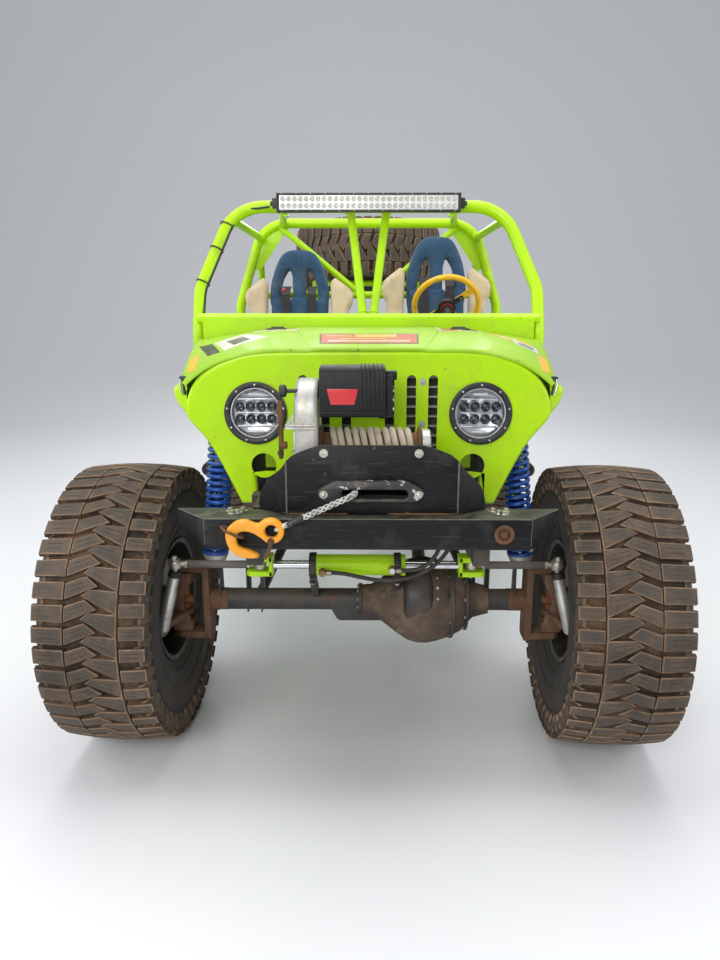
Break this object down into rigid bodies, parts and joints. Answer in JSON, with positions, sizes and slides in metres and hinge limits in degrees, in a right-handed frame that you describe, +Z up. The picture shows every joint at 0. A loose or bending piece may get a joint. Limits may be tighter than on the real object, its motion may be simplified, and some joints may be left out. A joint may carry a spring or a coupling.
{
  "type": "lifted off-road 4x4",
  "caption": "Open off-road 4x4 with a tube cage, long-travel axles, large mud tyres, a front winch, a light bar and a spare wheel on its tail.",
  "frame": {"origin": "on the floor under the middle of the vehicle's bounding box", "axes": "+Z up, the vehicle faces -Y, +X is its left-hand side"},
  "size_m": [2.0778, 3.7987, 2.0936],
  "materials": {
    "axle_paint": "black paint, muddy",
    "black_paint": "satin black paint, scratched",
    "cast_metal": "cast, dusty",
    "chrome": "hard chrome",
    "damper": "polished body",
    "engine_iron": "oily iron",
    "green_paint": "gloss lime paint, dusty",
    "green_tube": "gloss lime tube paint, chipped",
    "hose": "matt rubber",
    "iron": "rusty",
    "lamp_black": "moulded black",
    "lens": "clear lens over reflectors",
    "orange_hook": "gloss orange paint, worn",
    "rim": "black paint",
    "rope": "braided, dusty",
    "seat": "woven seat cloth",
    "spring_blue": "gloss blue coat",
    "steel": "turned steel",
    "tyre": "rubber with dried mud",
    "wheel_rim": "yellow grip"
  },
  "bodies": {
    "root": {"chassis_frame": "black_paint", "sill_rails": "green_tube", "body_tub": "green_paint", "scuttle": "green_paint", "cage_front": "green_tube", "cage_main": "green_tube", "cage_rails": "green_tube", "cage_vee": "green_tube", "spare_tray": "green_tube", "front_bumper": "black_paint", "winch_plate": "black_paint", "fairlead": "black_paint", "winch_housing": "cast_metal", "winch_box": "lamp_black", "winch_drum": "steel", "winch_rope": "rope", "tow_hook": "orange_hook", "tow_rings": "iron", "front_panel": "green_paint", "radiator": "cast_metal", "headlamp_rims": "lamp_black", "lamp_lenses": "lens", "front_wings": "green_paint", "engine": "engine_iron", "gearbox": "cast_metal", "propshafts": "steel", "front_axle": "axle_paint", "rear_axle": "axle_paint", "dampers": "damper", "springs": "spring_blue", "links": "steel", "steering_ram": "green_paint", "hose_low": "hose", "hose_high": "hose", "light_bar": "lamp_black", "seat_left": "seat", "seat_right": "seat", "steering_column": "black_paint", "fuel_tank": "cast_metal", "spare_tyre": "tyre", "spare_rim": "rim"},
    "bonnet": {"bonnet": "green_paint"},
    "steering_wheel": {"steering_wheel": "wheel_rim"},
    "steering_rod": {"steering_rod": "chrome"},
    "knuckle_left": {"knuckle_left": "iron"},
    "knuckle_right": {"knuckle_right": "iron"},
    "tie_rod_left": {"tie_rod_left": "steel"},
    "tie_rod_right": {"tie_rod_right": "steel"},
    "wheel_fl": {"tyre_fl": "tyre", "rim_fl": "rim"},
    "wheel_fr": {"tyre_fr": "tyre", "rim_fr": "rim"},
    "wheel_rl": {"tyre_rl": "tyre", "rim_rl": "rim"},
    "wheel_rr": {"tyre_rr": "tyre", "rim_rr": "rim"}
  },
  "joints": [
    {"name": "steer", "type": "hinge", "parent": "root", "child": "knuckle_left", "pos_m": [0.68, -1.3565, 0.5], "axis": [0, 0, 1], "range_deg": [-29.5, 34.5]},
    {"name": "steer_right", "type": "hinge", "parent": "root", "child": "knuckle_right", "pos_m": [-0.68, -1.3565, 0.5], "axis": [0, 0, 1], "range_deg": [-29.51, 34.51]},
    {"name": "rod_slide", "type": "slide", "parent": "root", "child": "steering_rod", "axis": [1, 0, 0], "range_m": [-0.0748, 0.0874]},
    {"name": "tie_left", "type": "hinge", "parent": "knuckle_left", "child": "tie_rod_left", "pos_m": [0.65348, -1.50548, 0.69], "axis": [0, 0, 1], "range_deg": [-34.51, 29.51]},
    {"name": "tie_right", "type": "hinge", "parent": "knuckle_right", "child": "tie_rod_right", "pos_m": [-0.66656, -1.50723, 0.69], "axis": [0, 0, 1], "range_deg": [-34.51, 29.51]},
    {"name": "wheel_turn", "type": "hinge", "parent": "root", "child": "steering_wheel", "pos_m": [0.382, -0.2165, 1.556], "axis": [0, 0.8192, 0.5736], "range_deg": [-413.1, 483.1]},
    {"name": "bonnet_hinge", "type": "hinge", "parent": "root", "child": "bonnet", "pos_m": [0, -0.8405, 1.471], "axis": [-1, 0, 0], "range_deg": [0, 65]},
    {"name": "spin_fl", "type": "hinge", "parent": "knuckle_left", "child": "wheel_fl", "pos_m": [0.68, -1.3565, 0.5], "axis": [0.999, -0.0436, 0], "continuous": true},
    {"name": "spin_fr", "type": "hinge", "parent": "knuckle_right", "child": "wheel_fr", "pos_m": [-0.68, -1.3565, 0.5], "axis": [0.999, -0.0436, 0], "continuous": true},
    {"name": "spin_rl", "type": "hinge", "parent": "root", "child": "wheel_rl", "pos_m": [0.84, 1.3435, 0.5], "axis": [1, 0, 0], "continuous": true},
    {"name": "spin_rr", "type": "hinge", "parent": "root", "child": "wheel_rr", "pos_m": [-0.84, 1.3435, 0.5], "axis": [1, 0, 0], "continuous": true}
  ],
  "couplings": [
    {"joint": "steer_right", "follows": "steer", "ratio": 1},
    {"joint": "rod_slide", "follows": "steer", "m_per_rad": 0.145},
    {"joint": "tie_left", "follows": "steer", "ratio": -1},
    {"joint": "tie_right", "follows": "steer", "ratio": -1},
    {"joint": "wheel_turn", "follows": "steer", "ratio": 14}
  ]
}
